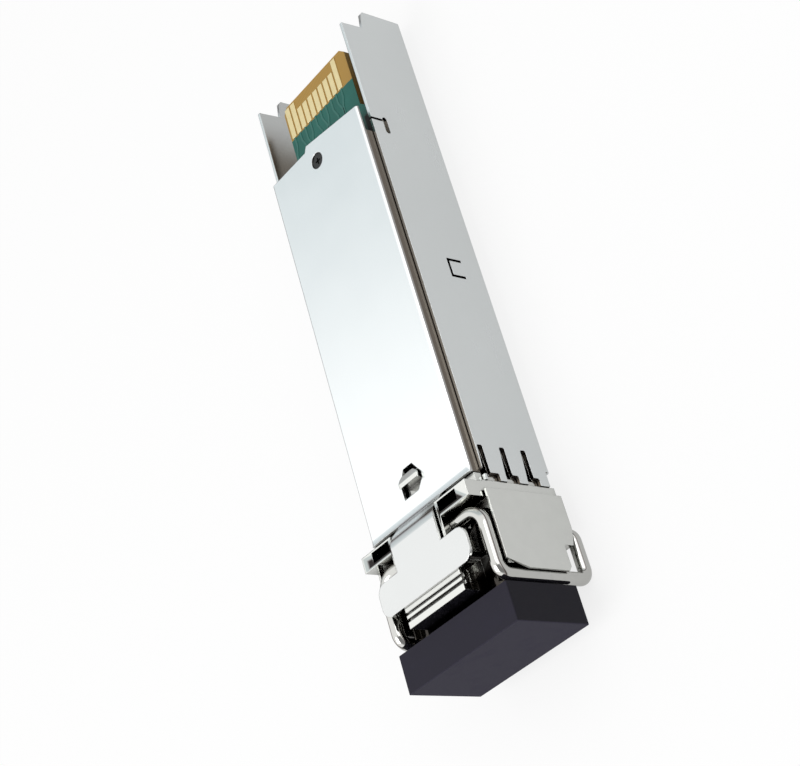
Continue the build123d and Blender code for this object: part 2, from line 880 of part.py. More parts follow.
transmit_x = port_pitch / 2
receive_x = -port_pitch / 2
latch_side_places = passive_places(
    passive_columns, latch_side_passive_y, latch_side_passive_step, 6)
cover_side_places = passive_places(
    (passive_columns[0], passive_columns[-1]), cover_side_passive_y, cover_side_passive_step, 8)

pieces = {
    "top_cover": top_cover(),
    "bottom_cover": bottom_cover(),
    "nose_housing": nose_housing(),
    "bail": bail(),
    "latch_rocker": latch_rocker(),
    "rocker_spring": rocker_spring(),
    "dust_plug": dust_plug(),
    "circuit_board": circuit_board(),
    "latch_side_contacts": latch_side_contacts(),
    "cover_side_contacts": cover_side_contacts(),
    "laser_driver_chip": chip(driver_size, driver_x, driver_y),
    "amplifier_chip": chip(driver_size, -driver_x, driver_y),
    "controller_chip": chip(controller_size, 0, controller_y, below=True),
    "latch_side_passives": passives(latch_side_places),
    "cover_side_passives": passives(cover_side_places, below=True),
    "transmit_barrel": optics_barrel(transmit_x),
    "transmit_can": optics_can(transmit_x),
    "transmit_sleeve": optics_sleeve(transmit_x),
    "transmit_fibre_stub": transmit_fibre_stub(),
    "transmit_flex": optics_flex(transmit_x),
    "receive_barrel": optics_barrel(receive_x),
    "receive_can": optics_can(receive_x),
    "receive_sleeve": optics_sleeve(receive_x),
    "receive_flex": optics_flex(receive_x),
    "optics_retainer": optics_retainer(),
    "screw_post": screw_post(),
    "cover_screw": cover_screw(),
    "thermal_pad": thermal_pad(),
}

os.makedirs("parts", exist_ok=True)
for node, piece in pieces.items():
    export_step(to_frame * piece, "parts/" + node + ".step")
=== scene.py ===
"""The looks of an SFP transceiver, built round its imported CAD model.

Blender works in metres here. The sizes that follow from the part's drawing are given in
millimetres, about the latch datum: X across, Y to the rear, Z up from the cover's face.
shift_mm carries them into the frame of the model.
"""

import math

import bmesh
import bpy
from bpy.props import FloatProperty, FloatVectorProperty, PointerProperty
from mathutils import Matrix, Quaternion, Vector


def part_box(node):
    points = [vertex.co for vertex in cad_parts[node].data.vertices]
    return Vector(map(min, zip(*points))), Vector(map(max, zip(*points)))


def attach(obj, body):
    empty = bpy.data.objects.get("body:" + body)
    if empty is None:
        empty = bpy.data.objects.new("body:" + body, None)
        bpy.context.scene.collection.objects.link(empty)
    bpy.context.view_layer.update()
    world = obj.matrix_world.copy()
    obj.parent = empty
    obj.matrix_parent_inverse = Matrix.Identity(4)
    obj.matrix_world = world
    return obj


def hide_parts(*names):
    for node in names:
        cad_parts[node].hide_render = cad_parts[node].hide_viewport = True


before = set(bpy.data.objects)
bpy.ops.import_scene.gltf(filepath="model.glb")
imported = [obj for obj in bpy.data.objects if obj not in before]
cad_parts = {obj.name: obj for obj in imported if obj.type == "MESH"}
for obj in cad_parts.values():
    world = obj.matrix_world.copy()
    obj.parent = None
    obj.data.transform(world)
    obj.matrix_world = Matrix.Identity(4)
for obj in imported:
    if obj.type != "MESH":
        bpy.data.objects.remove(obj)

bl_info = {
    "name": "Optical transceiver looks",
    "version": (1, 0, 0),
    "blender": (4, 5, 0),
    "location": "View3D > Sidebar > Transceiver",
    "description": "Finishes, board detail, stage and camera for a pluggable transceiver",
    "category": "Object",
}

MM = 0.001
shift_mm = Vector((0, -14.95, 9.83))
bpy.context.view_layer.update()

# The circuit board
board_face = -2.25
board_back = -3.25
board_shoulder = 34.3
lacquer_end = 38.45
contact_count = 10
contact_pitch = 0.8
contact_middle = -0.45

# What is carved from the shell's walls and from the nose
wall_reach = (6.0, 7.2)
slot_run = (-2.45, -0.15)
slot_drops = (1.45, 3.78, 6.07)
slot_up = 0.26
slot_down = 0.30
notch_run = (-4.0, -2.60)
notch_drops = (1.3, 3.35, 5.6)
notch_height = 1.35
nose_corner = (5.75, 7.4, -11.6, -8.55, -9.6, -7.05)
carved_edge = 0.12


# Settings

class CameraSettings(bpy.types.PropertyGroup):
    """Where the camera stands and how it is turned."""

    place: FloatVectorProperty(
        name="Place", description="Where the camera stands", subtype="TRANSLATION",
        unit="LENGTH", precision=5, default=(0.09243, -0.07604, 0.10362))
    aim: FloatVectorProperty(
        name="Aim", description="The point in the middle of the picture", subtype="TRANSLATION",
        unit="LENGTH", precision=5, default=(0.001893, -0.00677, 0.00983))
    roll: FloatProperty(
        name="Roll", description="Turn of the camera about its own axis, clockwise",
        subtype="ANGLE", default=math.radians(80.77))
    lens: FloatProperty(
        name="Lens", description="Focal length on a 36 mm sensor", unit="CAMERA", default=82.7)


class StudioSettings(bpy.types.PropertyGroup):
    """Floor, light and what polished metal sees round it."""

    floor_size: FloatProperty(
        name="Floor size", description="Width of the floor", unit="LENGTH", default=1.6)
    floor_colour: FloatVectorProperty(
        name="Floor colour", description="Colour of the floor", subtype="COLOR",
        min=0, max=1, default=(0.95, 0.95, 0.95))
    ambient: FloatProperty(
        name="Ambient light", description="Light that comes from all round", min=0, default=0.62)
    key_power: FloatProperty(
        name="Key lamp", description="Power of the large lamp above the object",
        unit="POWER", min=0, default=0.9)
    key_size: FloatProperty(
        name="Key lamp size", description="Width of the large lamp", unit="LENGTH", default=0.30)
    fill_power: FloatProperty(
        name="Fill lamp", description="Power of the lamp on the other side",
        unit="POWER", min=0, default=0.35)


class FinishSettings(bpy.types.PropertyGroup):
    """Colours of the transceiver's finishes."""

    shell: FloatVectorProperty(
        name="Shell", description="Plating of the main shell", subtype="COLOR",
        min=0, max=1, default=(0.80, 0.83, 0.83))
    cover: FloatVectorProperty(
        name="Cover", description="Plating of the latch-side cover", subtype="COLOR",
        min=0, max=1, default=(0.905, 0.93, 0.93))
    casting: FloatVectorProperty(
        name="Casting", description="Plating of the nose casting", subtype="COLOR",
        min=0, max=1, default=(0.76, 0.77, 0.74))
    wire: FloatVectorProperty(
        name="Wire", description="Plating of the bail wire", subtype="COLOR",
        min=0, max=1, default=(0.60, 0.60, 0.575))
    plug: FloatVectorProperty(
        name="Plug", description="Rubber of the dust plug", subtype="COLOR",
        min=0, max=1, default=(0.0160, 0.0145, 0.0245))
    mask: FloatVectorProperty(
        name="Solder mask", description="Lacquer over the circuit board", subtype="COLOR",
        min=0, max=1, default=(0.0095, 0.110, 0.086))
    laminate: FloatVectorProperty(
        name="Laminate", description="Bare glass-fibre board", subtype="COLOR",
        min=0, max=1, default=(0.39, 0.232, 0.055))
    gold: FloatVectorProperty(
        name="Gold", description="Plating of the edge contacts", subtype="COLOR",
        min=0, max=1, default=(0.95, 0.78, 0.43))


class BoardSettings(bpy.types.PropertyGroup):
    """Sizes of the board's fine detail."""

    track_width: FloatProperty(
        name="Track width", description="Width of a copper track under the mask",
        unit="LENGTH", precision=5, default=0.00022)
    track_height: FloatProperty(
        name="Track height", description="How far a track stands up under the mask",
        unit="LENGTH", precision=6, default=0.000035)


class PlugSettings(bpy.types.PropertyGroup):
    """Softening of the moulded plug's edges."""

    edge: FloatProperty(
        name="Edge", description="Radius of the plug's edges", unit="LENGTH", precision=5,
        default=0.00012)


# Shader maths

class Wire:
    """A shader socket. Arithmetic on it adds Math nodes."""

    def __init__(self, graph, socket):
        self.graph = graph
        self.socket = socket

    def math(self, operation, first, second=0.0):
        return self.graph.add("ShaderNodeMath", {"operation": operation}, {0: first, 1: second})

    def __add__(self, other):
        return self.math("ADD", self, other)

    def __sub__(self, other):
        return self.math("SUBTRACT", self, other)

    def __rsub__(self, other):
        return self.math("SUBTRACT", other, self)

    def __mul__(self, other):
        return self.math("MULTIPLY", self, other)

    def __abs__(self):
        return self.math("ABSOLUTE", self)

    __radd__ = __add__
    __rmul__ = __mul__

    def least(self, other):
        return self.math("MINIMUM", self, other)

    def most(self, other):
        return self.math("MAXIMUM", self, other)

    def rise(self, start, end):
        """0 below start, 1 above end, with a soft step between."""
        return self.graph.add(
            "ShaderNodeMapRange", {"interpolation_type": "SMOOTHSTEP"},
            {"Value": self, "From Min": start, "From Max": end})

    def band(self, start, full, fading, end):
        """1 from full to fading, 0 below start and above end."""
        return self.rise(start, full) * (1 - self.rise(fading, end))


class Graph:
    """A node tree that is filled one call at a time."""

    def __init__(self, tree):
        self.tree = tree
        tree.nodes.clear()

    def add(self, kind, settings=None, inputs=None, output=0):
        """Adds a node: its settings first, then the values or links of its sockets."""
        node = self.tree.nodes.new(kind)
        for name, value in (settings or {}).items():
            setattr(node, name, value)
        for name, value in (inputs or {}).items():
            if isinstance(value, Wire):
                self.tree.links.new(value.socket, node.inputs[name])
            elif node.inputs[name].type == "RGBA" and len(value) == 3:
                node.inputs[name].default_value = (*value, 1)
            else:
                node.inputs[name].default_value = value
        return Wire(self, node.outputs[output]) if node.outputs else None

    def colour(self, factor, first, second):
        """From the first colour to the second, by factor."""
        return self.add("ShaderNodeMix", {"data_type": "RGBA"}, {0: factor, 6: first, 7: second}, 2)

    def spread(self, vector, scale):
        """A vector times a scale along each axis."""
        return self.add("ShaderNodeVectorMath", {"operation": "MULTIPLY"}, {0: vector, 1: scale})

    def place(self):
        """Where a point of the object is, in millimetres."""
        at = self.add("ShaderNodeTexCoord", output="Object")
        return self.spread(at, (1 / MM,) * 3)

    def axes(self, vector):
        """The three parts of a vector."""
        x = self.add("ShaderNodeSeparateXYZ", {}, {0: vector}, "X")
        parts = x.socket.node.outputs
        return x, Wire(self, parts["Y"]), Wire(self, parts["Z"])

    def from_datum(self, place):
        """The three parts of a place, in millimetres about the latch datum."""
        return self.axes(self.add("ShaderNodeVectorMath", {"operation": "SUBTRACT"},
                                  {0: place, 1: shift_mm}))

    def noise(self, vector, scale, detail=2.0, rough=0.5):
        """Soft noise from 0 to 1."""
        return self.add("ShaderNodeTexNoise", {},
                        {"Vector": vector, "Scale": scale, "Detail": detail, "Roughness": rough})

    def cells(self, vector, scale):
        """Distance to the nearest of many scattered points."""
        return self.add("ShaderNodeTexVoronoi", {}, {"Vector": vector, "Scale": scale}, "Distance")

    def rounded(self, radius):
        """The normal, turned over at edges as if they were rounded."""
        return self.add("ShaderNodeBevel", {"samples": 6}, {"Radius": radius})

    def edges(self, rounded):
        """1 on edges and 0 on flats, from how far the rounded normal turns."""
        flat = self.add("ShaderNodeNewGeometry", output="Normal")
        same = self.add("ShaderNodeVectorMath", {"operation": "DOT_PRODUCT"},
                        {0: rounded, 1: flat}, "Value")
        return (1 - same).rise(0.01, 0.22)

    def shelter(self, reach):
        """0 in the open and 1 deep in a recess, from what lies within reach."""
        near = self.add("ShaderNodeAmbientOcclusion", {"samples": 4}, {"Distance": reach}, "AO")
        return 1 - near

    def bump(self, height, strength, distance, normal=None):
        """A normal that follows a height."""
        inputs = {"Height": height, "Strength": strength, "Distance": distance}
        if normal is not None:
            inputs["Normal"] = normal
        return self.add("ShaderNodeBump", {}, inputs)


def new_material(name):
    """A material and the graph that it is drawn with."""
    material = bpy.data.materials.new(name)
    material.use_nodes = True
    return material, Graph(material.node_tree)


def surface(graph, **sockets):
    """The one shader of a finish. Underscores in the names stand for spaces."""
    inputs = {name.replace("_", " "): value for name, value in sockets.items()}
    shader = graph.add("ShaderNodeBsdfPrincipled", {}, inputs)
    graph.add("ShaderNodeOutputMaterial", {}, {"Surface": shader})


# Finishes

def shade(colour, amount):
    """A colour made darker or lighter."""
    return tuple(min(1.0, part * amount) for part in colour)


def plated_sheet(name, colour, roughness, edge, painted_shade=None):
    """Nickel on rolled sheet: faint rolling lines, soft clouds, brighter rubbed edges, and painted
    shade in its recesses.

    The last argument takes a place's parts about the datum and says where shade is painted on in
    dark brown."""
    material, graph = new_material(name)
    at = graph.place()
    rolled = graph.noise(graph.spread(at, (7.0, 0.10, 7.0)), 1.0, 3.0)
    cloud = graph.noise(at, 0.22, 3.0)
    speck = graph.cells(at, 2.6).rise(0.05, 0.0)
    rounded = graph.rounded(edge)
    worn = graph.edges(rounded)
    tone = graph.colour(cloud, shade(colour, 0.95), colour)
    tone = graph.colour(worn * 0.5, tone, shade(colour, 1.12))
    tone = graph.colour(speck * 0.12, tone, shade(colour, 0.6))
    # Painted shade, dark brown, where the mask function says.
    if painted_shade:
        tone = graph.colour(painted_shade(*graph.from_datum(at)), tone, (0.17, 0.145, 0.12))
    # Painted shade, nearly black, in recesses and corners, from how much lies within reach.
    tone = graph.colour(graph.shelter(1.2 * MM).rise(0.25, 0.95), tone, (0.05, 0.04, 0.035))
    matt = roughness * 0.82 + rolled * 0.06 + cloud * 0.06 + worn * 0.08
    height = rolled * 0.6 + cloud * 0.4
    surface(graph, Base_Color=tone, Metallic=1.0, Roughness=matt,
            Normal=graph.bump(height, 0.10, 0.004 * MM, rounded))
    return material


def polished_casting(name, colour, roughness, edge, painted_shade=None):
    """Plated zinc: nearly a mirror, with the slight waves and pits of a casting, and painted shade
    in its recesses.

    The last argument takes a place's parts about the datum and says where shade is painted on,
    nearly black."""
    material, graph = new_material(name)
    at = graph.place()
    wave = graph.noise(at, 0.9, 2.0)
    pit = graph.cells(at, 3.2).rise(0.07, 0.0)
    rounded = graph.rounded(edge)
    worn = graph.edges(rounded)
    tone = graph.colour(wave, shade(colour, 0.93), colour)
    tone = graph.colour(worn * 0.45, tone, shade(colour, 1.15))
    tone = graph.colour(pit * 0.3, tone, shade(colour, 0.5))
    # Painted shade, nearly black, in recesses and wherever the mask function says.
    painted_shade_mask = graph.shelter(2.0 * MM).rise(0.22, 0.75)
    if painted_shade:
        painted_shade_mask = painted_shade_mask.most(painted_shade(*graph.from_datum(at)))
    tone = graph.colour(painted_shade_mask, tone, (0.030, 0.024, 0.020))
    matt = roughness * 0.8 + wave * 0.05 + worn * 0.05
    surface(graph, Base_Color=tone, Metallic=1.0, Roughness=matt,
            Normal=graph.bump(wave - pit * 0.4, 0.25, 0.03 * MM, rounded))
    return material


def drawn_wire(name, colour, roughness):
    """Bright plated wire with hair lines and a few rub marks."""
    material, graph = new_material(name)
    at = graph.place()
    hair = graph.noise(graph.spread(at, (1.0, 6.0, 6.0)), 2.0, 2.0)
    rub = graph.noise(at, 1.1, 3.0).rise(0.55, 0.75)
    tone = graph.colour(rub * 0.5, colour, shade(colour, 0.86))
    surface(graph, Base_Color=tone, Metallic=1.0, Roughness=roughness + hair * 0.04 + rub * 0.08,
            Normal=graph.bump(hair, 0.08, 0.01 * MM))
    return material


def moulded_rubber(name, colour, low, high):
    """Soft moulded rubber with a fine grain and dusty patches, a painted highlight on its front end
    and painted shade on its sides.

    low and high are the corners of the piece about the datum."""
    material, graph = new_material(name)
    at = graph.place()
    grain = graph.noise(at, 9.0, 3.0, 0.6)
    dust = graph.noise(at, 0.5, 4.0).rise(0.45, 0.75)
    lint = graph.cells(at, 1.4).rise(0.035, 0.0)
    tone = graph.colour(grain, shade(colour, 0.85), shade(colour, 1.12))
    tone = graph.colour(dust * 0.25, tone, shade(colour, 1.9))
    tone = graph.colour(lint * 0.5, tone, (0.22, 0.22, 0.25))
    x, y, z = graph.from_datum(at)
    # A painted highlight on the front end and painted shade on the two sides.
    front = 1 - y.rise(low.y + 0.02, low.y + 0.10)
    side = abs(x).rise(high.x - 0.10, high.x - 0.02) * (1 - front)
    tone = graph.colour(front * 0.45, tone, shade(colour, 2.6))
    tone = graph.colour(side * 0.55, tone, (0.004, 0.004, 0.005))
    surface(graph, Base_Color=tone, Roughness=0.62 + grain * 0.12 + dust * 0.08,
            Specular_IOR_Level=0.22, Normal=graph.bump(grain, 0.35, 0.02 * MM))
    return material


def fibre_board(name, mask, laminate, low, high):
    """Green lacquer on the faces; bare laminate round the contacts and on the cut edges; painted
    shade inside the shell.

    low and high are the corners of the board about the datum."""
    material, graph = new_material(name)
    at = graph.place()
    x, y, z = graph.from_datum(at)
    weave = graph.add("ShaderNodeTexWave", {"wave_type": "BANDS", "bands_direction": "X"},
                      {"Vector": at, "Scale": 1.6, "Distortion": 0.6})
    weft = graph.add("ShaderNodeTexWave", {"wave_type": "BANDS", "bands_direction": "Y"},
                     {"Vector": at, "Scale": 1.6, "Distortion": 0.6})
    cloth = weave * 0.5 + weft * 0.5
    layers = graph.noise(graph.spread(at, (0.6, 0.6, 14.0)), 1.0, 1.0)
    wobble = graph.noise(at, 1.2)
    bare_end = (y + wobble * 0.16).rise(lacquer_end, lacquer_end + 0.10)
    inside = z.band(low.z + 0.02, low.z + 0.06, high.z - 0.06, high.z - 0.02)
    bare = bare_end.most(inside)
    glass = graph.colour(cloth, shade(laminate, 0.82), shade(laminate, 1.2))
    glass = graph.colour(inside * layers, glass, shade(laminate, 0.55))
    cloud = graph.noise(at, 0.7, 3.0)
    green = graph.colour(cloud, shade(mask, 0.8), shade(mask, 1.25))
    tone = graph.colour(bare, green, glass)
    # Painted shade, nearly black: along the board's sides inside the shell, and in its recesses,
    # weaker behind the shoulder.
    margin = abs(x).rise(4.72, 4.90) * (1 - y.rise(board_shoulder - 0.4, board_shoulder - 0.1))
    in_body = 1 - y.rise(board_shoulder, board_shoulder + 0.3) * 0.7
    painted_shade_mask = (graph.shelter(3.0 * MM).rise(0.2, 0.8) * in_body).most(margin)
    tone = graph.colour(painted_shade_mask, tone, (0.006, 0.007, 0.006))
    matt = 0.22 + bare * 0.28 + cloud * 0.06 + painted_shade_mask * 0.4
    surface(graph, Base_Color=tone, Roughness=matt, Specular_IOR_Level=0.3,
            Normal=graph.bump(cloth, 0.15, 0.01 * MM))
    return material


def lacquered_copper(name, mask):
    """Tracks under the lacquer: a lighter green, glossy."""
    material, graph = new_material(name)
    at = graph.place()
    cloud = graph.noise(at, 1.5, 3.0)
    tone = graph.colour(cloud, shade(mask, 1.05), tuple(part * 1.25 + 0.01 for part in mask))
    surface(graph, Base_Color=tone, Roughness=0.16 + cloud * 0.08,
            Normal=graph.bump(cloud, 0.1, 0.01 * MM))
    return material


def gold_plate(name, colour, roughness):
    """Gold over nickel, with the wipe marks of a connector along Y."""
    material, graph = new_material(name)
    at = graph.place()
    wiped = graph.noise(graph.spread(at, (9.0, 0.5, 9.0)), 1.0, 2.0)
    cloud = graph.noise(at, 1.3, 3.0)
    rounded = graph.rounded(0.03 * MM)
    tone = graph.colour(cloud, shade(colour, 0.86), shade(colour, 1.05))
    tone = graph.colour(wiped.rise(0.5, 0.8) * 0.3, tone, shade(colour, 0.8))
    surface(graph, Base_Color=tone, Metallic=1.0, Roughness=roughness + wiped * 0.12,
            Normal=graph.bump(wiped, 0.12, 0.006 * MM, rounded))
    return material


def chip_plastic(name):
    """Black moulded epoxy with a fine spark-eroded grain."""
    material, graph = new_material(name)
    at = graph.place()
    grain = graph.noise(at, 12.0, 4.0, 0.7)
    tone = graph.colour(grain, (0.012, 0.012, 0.013), (0.035, 0.035, 0.037))
    surface(graph, Base_Color=tone, Roughness=0.45 + grain * 0.2,
            Normal=graph.bump(grain, 0.3, 0.02 * MM, graph.rounded(0.05 * MM)))
    return material


def fired_ceramic(name, colour, roughness):
    """Fired ceramic with fine speckles."""
    material, graph = new_material(name)
    at = graph.place()
    speck = graph.noise(at, 14.0, 2.0)
    tone = graph.colour(speck, shade(colour, 0.85), shade(colour, 1.1))
    surface(graph, Base_Color=tone, Roughness=roughness + speck * 0.1,
            Normal=graph.bump(speck, 0.1, 0.01 * MM, graph.rounded(0.04 * MM)))
    return material


def turned_metal(name, colour, roughness):
    """Bar turned on a lathe, its tool marks round the Y axis."""
    material, graph = new_material(name)
    at = graph.place()
    marks = graph.noise(graph.spread(at, (0.3, 22.0, 0.3)), 1.0, 1.0)
    cloud = graph.noise(at, 0.9, 3.0)
    rounded = graph.rounded(0.05 * MM)
    tone = graph.colour(cloud, shade(colour, 0.85), shade(colour, 1.05))
    tone = graph.colour(graph.edges(rounded) * 0.4, tone, shade(colour, 1.2))
    surface(graph, Base_Color=tone, Metallic=1.0, Roughness=roughness + marks * 0.1,
            Normal=graph.bump(marks, 0.15, 0.01 * MM, rounded))
    return material


def ribbon_film(name):
    """Amber film with copper lines showing through along its length."""
    material, graph = new_material(name)
    at = graph.place()
    lines = graph.add("ShaderNodeTexWave", {"wave_type": "BANDS", "bands_direction": "X"},
                      {"Vector": at, "Scale": 0.75}).rise(0.45, 0.6)
    cloud = graph.noise(at, 2.0, 2.0)
    tone = graph.colour(lines, (0.36, 0.13, 0.02), (0.62, 0.30, 0.08))
    tone = graph.colour(cloud * 0.3, tone, (0.25, 0.09, 0.015))
    surface(graph, Base_Color=tone, Roughness=0.28 + cloud * 0.1,
            Normal=graph.bump(lines, 0.2, 0.01 * MM))
    return material


def soft_pad(name):
    """Grey filled silicone."""
    material, graph = new_material(name)
    at = graph.place()
    filler = graph.noise(at, 8.0, 4.0, 0.7)
    tone = graph.colour(filler, (0.22, 0.24, 0.27), (0.36, 0.38, 0.41))
    surface(graph, Base_Color=tone, Roughness=0.7 + filler * 0.15,
            Normal=graph.bump(filler, 0.3, 0.02 * MM))
    return material


def tinned(name):
    """Dull solder on the ends of small parts."""
    material, graph = new_material(name)
    at = graph.place()
    cloud = graph.noise(at, 5.0, 3.0)
    tone = graph.colour(cloud, (0.55, 0.56, 0.57), (0.72, 0.73, 0.74))
    surface(graph, Base_Color=tone, Metallic=1.0, Roughness=0.3 + cloud * 0.15,
            Normal=graph.bump(cloud, 0.2, 0.02 * MM))
    return material


def dress(node, material):
    """Gives a CAD node's object its finish."""
    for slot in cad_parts[node].material_slots:
        slot.material = material


# Pieces

def at_mm(x, y, z):
    """A point given in millimetres about the latch datum, in the model's frame."""
    return (Vector((x, y, z)) + shift_mm) * MM


def datum_box(node):
    """The lowest and highest corners of a CAD node, in millimetres about the latch datum."""
    return [corner / MM - shift_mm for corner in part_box(node)]


def add_object(mesh, name):
    """An object that holds a bmesh, which is used up."""
    data = bpy.data.meshes.new(name)
    mesh.to_mesh(data)
    mesh.free()
    thing = bpy.data.objects.new(name, data)
    bpy.context.scene.collection.objects.link(thing)
    return thing


def finish_piece(piece, material, body):
    """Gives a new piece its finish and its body."""
    piece.data.materials.clear()
    piece.data.materials.append(material)
    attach(piece, body)


def both_sides(boxes):
    """Boxes of (x0, x1, y0, y1, z0, z1) in millimetres, and their mirror images."""
    return boxes + [(-x1, -x0, y0, y1, z0, z1) for x0, x1, y0, y1, z0, z1 in boxes]


def carve(node, name, boxes, material, body):
    """A piece that stands for a CAD node: its solid with its triangles merged, less some boxes."""
    mesh = bmesh.new()
    mesh.from_mesh(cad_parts[node].data)
    bmesh.ops.remove_doubles(mesh, verts=mesh.verts, dist=0.0005 * MM)
    bmesh.ops.dissolve_limit(mesh, angle_limit=math.radians(0.5), verts=mesh.verts,
                             edges=mesh.edges)
    cutter = bmesh.new()
    for x0, x1, y0, y1, z0, z1 in boxes:
        small_block(cutter, at_mm(x0, y0, z0), at_mm(x1, y1, z1), carved_edge * MM)
    whole = add_object(mesh, node + "_whole")
    tool = add_object(cutter, node + "_cutter")
    cut = whole.modifiers.new("cut", "BOOLEAN")
    cut.operation = "DIFFERENCE"
    cut.solver = "EXACT"
    cut.object = tool
    solved = whole.evaluated_get(bpy.context.evaluated_depsgraph_get())
    data = bpy.data.meshes.new_from_object(solved)
    for block in (whole, tool):
        bpy.data.objects.remove(block)
    data.name = name
    data.shade_smooth()
    data.set_sharp_from_angle(angle=math.radians(24))
    piece = bpy.data.objects.new(name, data)
    bpy.context.scene.collection.objects.link(piece)
    even = piece.modifiers.new("flat_faces", "WEIGHTED_NORMAL")
    even.keep_sharp = True
    finish_piece(piece, material, body)
    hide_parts(node)


def lay_track(mesh, points, width, height):
    """A flat track along points; its ends stay square to X."""
    half = Vector((width / 2, 0, 0))
    pair = [mesh.verts.new(points[0] - half), mesh.verts.new(points[0] + half)]
    edge = mesh.edges.new(pair)
    faces = []
    for before, after in zip(points, points[1:]):
        grown = bmesh.ops.extrude_edge_only(mesh, edges=[edge])["geom"]
        verts = [g for g in grown if isinstance(g, bmesh.types.BMVert)]
        bmesh.ops.translate(mesh, verts=verts, vec=after - before)
        edge = next(g for g in grown if isinstance(g, bmesh.types.BMEdge))
        faces += [g for g in grown if isinstance(g, bmesh.types.BMFace)]
    raised = bmesh.ops.extrude_face_region(mesh, geom=faces)["geom"]
    verts = [g for g in raised if isinstance(g, bmesh.types.BMVert)]
    bmesh.ops.translate(mesh, verts=verts, vec=(0, 0, height))


def small_block(mesh, low, high, bevel):
    """A block between two corners, its edges bevelled."""
    size = high - low
    block = bmesh.ops.create_cube(
        mesh, size=1, matrix=Matrix.LocRotScale((low + high) / 2, None, size))
    edges = {edge for vert in block["verts"] for edge in vert.link_edges}
    bmesh.ops.bevel(mesh, geom=list(edges), offset=bevel, offset_type="OFFSET", segments=1,
                    profile=0.5, affect="EDGES", material=-1)


# Operators

class SCENE_OT_transceiver_stage(bpy.types.Operator):
    """Adds the floor, the lamps, the world and the camera"""

    bl_idname = "scene.transceiver_stage"
    bl_label = "Stage and camera"

    def execute(self, context):
        studio = context.scene.transceiver_studio
        self.add_floor(studio)
        self.add_world(context.scene, studio)
        self.add_lamp("key_lamp", (-0.10, -0.22, 0.42), studio.key_power, studio.key_size)
        self.add_lamp("fill_lamp", (0.36, 0.10, 0.34), studio.fill_power, studio.key_size)
        self.add_camera(context.scene)
        context.scene.view_settings.view_transform = "Standard"
        return {"FINISHED"}

    @staticmethod
    def add_floor(studio):
        """Pale paper; polished metal sees it grey near the object and dark further off."""
        mesh = bmesh.new()
        bmesh.ops.create_grid(mesh, x_segments=1, y_segments=1, size=studio.floor_size / 2)
        floor = add_object(mesh, "floor")
        material, graph = new_material("floor_paper")
        path = graph.add("ShaderNodeLightPath")
        outputs = path.socket.node.outputs
        camera = Wire(graph, outputs["Is Camera Ray"])
        glossy = Wire(graph, outputs["Is Glossy Ray"])
        clear = Wire(graph, outputs["Is Transmission Ray"])
        paper = graph.add("ShaderNodeBsdfDiffuse", {}, {"Color": studio.floor_colour[:]})
        x, y, z = graph.axes(graph.add("ShaderNodeTexCoord", output="Object"))
        near_edge, far_edge = 0.06, 0.16
        far = (x * x + y * y).rise(near_edge ** 2, far_edge ** 2)
        mirrored = graph.colour(far, (0.66, 0.66, 0.66), (0.07, 0.06, 0.05))
        glow = graph.add("ShaderNodeEmission", {},
                         {"Color": graph.colour(camera, mirrored, (1.0,) * 3), "Strength": 1.0})
        share = camera * 0.80 + (glossy + clear).least(1.0) * 0.85
        mixed = graph.add("ShaderNodeMixShader", {}, {0: share, 1: paper, 2: glow})
        graph.add("ShaderNodeOutputMaterial", {}, {"Surface": mixed})
        floor.data.materials.append(material)

    @staticmethod
    def add_world(scene, studio):
        """Even light, and a studio that only polished metal sees.

        It has a dark corner, a dim band at table height and a greyer, bluer far end."""
        world = bpy.data.worlds.new("studio")
        world.use_nodes = True
        scene.world = world
        graph = Graph(world.node_tree)
        path = graph.add("ShaderNodeLightPath")
        outputs = path.socket.node.outputs
        camera = Wire(graph, outputs["Is Camera Ray"])
        mirror = (Wire(graph, outputs["Is Glossy Ray"])
                  + Wire(graph, outputs["Is Transmission Ray"])).least(1.0)
        toward = graph.add("ShaderNodeTexCoord", output="Generated")
        x, y, z = graph.axes(toward)
        dark_corner = (0.613, -0.469, 0.635)
        corner = graph.add("ShaderNodeVectorMath", {"operation": "DOT_PRODUCT"},
                           {0: toward, 1: dark_corner}, "Value")
        dark = corner.rise(0.72, 0.93) * 0.92
        band = (1 - abs(z).rise(0.02, 0.34)) * 0.93
        far_end = (y - x * 0.2).rise(0.56, 0.70) * 0.42
        light = (1.20 - dark - far_end).most(0.04) * (1 - band)
        red = light * (1 - far_end * 0.16 + band * 0.2)
        blue = light * (1 + far_end * 0.06)
        seen = graph.add("ShaderNodeCombineColor", {}, {0: red, 1: light, 2: blue})
        even = graph.colour(mirror, (studio.ambient,) * 3, seen)
        tone = graph.colour(camera, even, (1.0, 1.0, 1.0))
        background = graph.add("ShaderNodeBackground", {}, {"Color": tone, "Strength": 1.0})
        graph.add("ShaderNodeOutputWorld", {}, {"Surface": background})

    @staticmethod
    def add_lamp(name, place, power, size):
        """A square lamp that shines on the origin."""
        data = bpy.data.lights.new(name, "AREA")
        data.energy = power
        data.size = size
        lamp = bpy.data.objects.new(name, data)
        lamp.location = place
        lamp.rotation_mode = "QUATERNION"
        lamp.rotation_quaternion = (-Vector(place)).to_track_quat("-Z", "Y")
        bpy.context.scene.collection.objects.link(lamp)

    @staticmethod
    def add_camera(scene):
        """The camera of the main view, rolled as the photograph was."""
        settings = scene.transceiver_camera
        data = bpy.data.cameras.new("camera")
        data.sensor_width = 36
        data.lens = settings.lens
        data.clip_start = 0.005
        data.clip_end = 10
        camera = bpy.data.objects.new("camera", data)
        ahead = Vector(settings.aim) - Vector(settings.place)
        camera.location = settings.place
        camera.rotation_mode = "QUATERNION"
        camera.rotation_quaternion = (
            ahead.to_track_quat("-Z", "Y") @ Quaternion((0, 0, -1), settings.roll))
        scene.collection.objects.link(camera)
        scene.camera = camera


